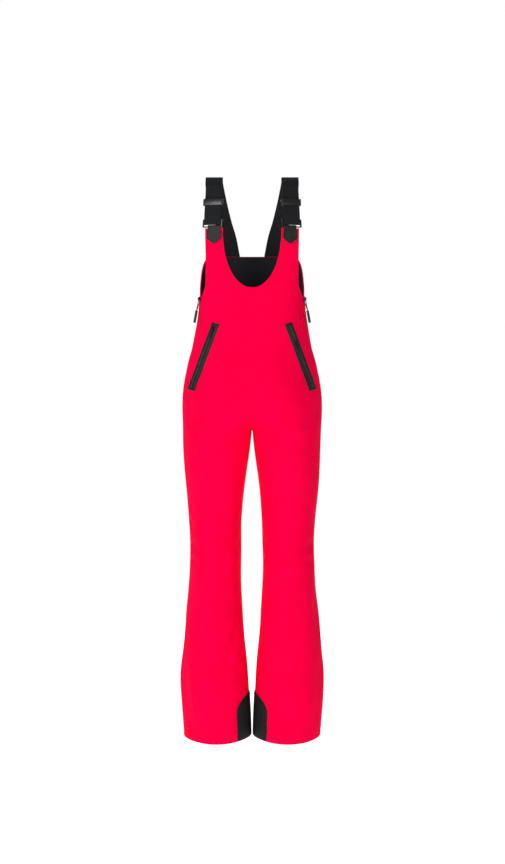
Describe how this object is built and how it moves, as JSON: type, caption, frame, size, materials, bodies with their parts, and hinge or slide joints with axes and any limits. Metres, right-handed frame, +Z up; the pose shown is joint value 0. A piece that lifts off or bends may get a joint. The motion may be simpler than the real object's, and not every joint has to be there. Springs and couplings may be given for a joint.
{
  "type": "ski bib pants",
  "caption": "Ski bib pants in worn shape: rounded bib on elastic shoulder straps with buckles, slanted thigh zip pockets, side zips, flared legs with scuff guards and snow gaiters.",
  "frame": {"origin": "midway between the tops of the two shoulder straps, where the garment hangs on the shoulders", "axes": "+Z up, +X to the wearer's left, -Y out of the front"},
  "size_m": [0.3534, 0.2316, 1.402],
  "materials": {
    "shell": "matt stretch twill softshell",
    "lining": "matt woven lining",
    "webbing": "ribbed elastic webbing",
    "laminate": "satin laminate film",
    "coil": "satin nylon coil",
    "scuff": "coarse woven nylon",
    "plastic": "moulded acetal, semi-gloss"
  },
  "bodies": {
    "torso": {"back_panel_left": "shell", "back_panel_right": "shell", "back_patch": "laminate", "back_yoke": "shell", "bib_facing_left": "lining", "bib_facing_right": "lining", "front_panel_left": "shell", "front_panel_right": "shell", "pocket_bag_left": "lining", "pocket_bag_right": "lining", "pocket_welt_left": "laminate", "pocket_welt_right": "laminate", "pocket_zip_coil_left": "coil", "pocket_zip_coil_right": "coil", "side_zip_tape_left": "coil", "side_zip_tape_right": "coil", "strap_left": "webbing", "strap_right": "webbing", "strap_tab_left": "laminate", "strap_tab_right": "laminate", "waist_elastic": "webbing"},
    "thigh_left": {"thigh_front_left": "shell", "thigh_back_left": "shell"},
    "shin_left": {"shin_front_left": "shell", "shin_back_left": "shell", "scuff_guard_left": "scuff", "hem_facing_left": "lining", "gaiter_left": "lining", "gaiter_gripper_left": "webbing"},
    "pocket_slider_left": {"pocket_slider_left": "plastic"},
    "pocket_pull_left": {"pocket_pull_left": "plastic"},
    "side_slider_left": {"side_slider_left": "plastic"},
    "side_pull_left": {"side_pull_cord_left": "webbing", "side_pull_grip_left": "plastic"},
    "buckle_left": {"buckle_left": "plastic", "strap_end_loop_left": "webbing"},
    "strap_adjuster_left": {"strap_adjuster_left": "plastic"},
    "thigh_right": {"thigh_front_right": "shell", "thigh_back_right": "shell"},
    "shin_right": {"shin_front_right": "shell", "shin_back_right": "shell", "scuff_guard_right": "scuff", "hem_facing_right": "lining", "gaiter_right": "lining", "gaiter_gripper_right": "webbing"},
    "pocket_slider_right": {"pocket_slider_right": "plastic"},
    "pocket_pull_right": {"pocket_pull_right": "plastic"},
    "side_slider_right": {"side_slider_right": "plastic"},
    "side_pull_right": {"side_pull_cord_right": "webbing", "side_pull_grip_right": "plastic"},
    "buckle_right": {"buckle_right": "plastic", "strap_end_loop_right": "webbing"},
    "strap_adjuster_right": {"strap_adjuster_right": "plastic"},
    "hanger_loop": {"hanger_loop": "webbing"}
  },
  "joints": [
    {"name": "hip_left", "type": "hinge", "parent": "torso", "child": "thigh_left", "pos_m": [0, -0.107, -0.633], "axis": [-1, 0, 0], "range_deg": [0, 80], "stiffness_Nm_per_rad": 1, "springref_deg": -40.11},
    {"name": "knee_left", "type": "hinge", "parent": "thigh_left", "child": "shin_left", "pos_m": [0, 0.086, -0.925], "axis": [1, 0, 0], "range_deg": [0, 90], "stiffness_Nm_per_rad": 0.6, "springref_deg": -40.11},
    {"name": "pocket_zip_left", "type": "slide", "parent": "torso", "child": "pocket_slider_left", "axis": [0.3493, 0.1573, -0.9237], "range_m": [-0.04, 0.108]},
    {"name": "pocket_pull_left", "type": "hinge", "parent": "pocket_slider_left", "child": "pocket_pull_left", "pos_m": [0.11218, -0.07724, -0.41495], "axis": [-0.7015, -0.6096, -0.3691], "range_deg": [0, 150]},
    {"name": "side_zip_left", "type": "slide", "parent": "torso", "child": "side_slider_left", "axis": [0.0265, -0.0764, -0.9967], "range_m": [0, 0.052]},
    {"name": "side_pull_left", "type": "hinge", "parent": "side_slider_left", "child": "side_pull_left", "pos_m": [0.13157, -0.04391, -0.30478], "axis": [-0.4352, -0.8985, 0.0573], "range_deg": [0, 120]},
    {"name": "buckle_tilt_left", "type": "hinge", "parent": "torso", "child": "buckle_left", "pos_m": [0.09751, -0.08674, -0.1321], "axis": [0.9441, 0.3295, 0], "range_deg": [-8, 60], "stiffness_Nm_per_rad": 0.05},
    {"name": "strap_adjust_left", "type": "slide", "parent": "torso", "child": "strap_adjuster_left", "axis": [-0.0489, 0.1401, 0.9889], "range_m": [-0.009, 0.022]},
    {"name": "hip_right", "type": "hinge", "parent": "torso", "child": "thigh_right", "pos_m": [0, -0.107, -0.633], "axis": [-1, 0, 0], "range_deg": [0, 80], "stiffness_Nm_per_rad": 1, "springref_deg": -40.11},
    {"name": "knee_right", "type": "hinge", "parent": "thigh_right", "child": "shin_right", "pos_m": [0, 0.086, -0.925], "axis": [1, 0, 0], "range_deg": [0, 90], "stiffness_Nm_per_rad": 0.6, "springref_deg": -40.11},
    {"name": "pocket_zip_right", "type": "slide", "parent": "torso", "child": "pocket_slider_right", "axis": [-0.3493, 0.1573, -0.9237], "range_m": [-0.002, 0.146]},
    {"name": "pocket_pull_right", "type": "hinge", "parent": "pocket_slider_right", "child": "pocket_pull_right", "pos_m": [-0.09891, -0.08322, -0.37985], "axis": [-0.7015, 0.6096, 0.3691], "range_deg": [0, 150]},
    {"name": "side_zip_right", "type": "slide", "parent": "torso", "child": "side_slider_right", "axis": [-0.0265, -0.0764, -0.9967], "range_m": [0, 0.052]},
    {"name": "side_pull_right", "type": "hinge", "parent": "side_slider_right", "child": "side_pull_right", "pos_m": [-0.13157, -0.04391, -0.30478], "axis": [-0.4352, 0.8985, -0.0573], "range_deg": [0, 120]},
    {"name": "buckle_tilt_right", "type": "hinge", "parent": "torso", "child": "buckle_right", "pos_m": [-0.09751, -0.08674, -0.1321], "axis": [0.9441, -0.3295, 0], "range_deg": [-8, 60], "stiffness_Nm_per_rad": 0.05},
    {"name": "strap_adjust_right", "type": "slide", "parent": "torso", "child": "strap_adjuster_right", "axis": [0.0489, 0.1401, 0.9889], "range_m": [-0.009, 0.022]},
    {"name": "hanger_loop_swing", "type": "hinge", "parent": "torso", "child": "hanger_loop", "pos_m": [0, 0.1088, -0.213], "axis": [1, 0, 0], "range_deg": [0, 150]}
  ]
}
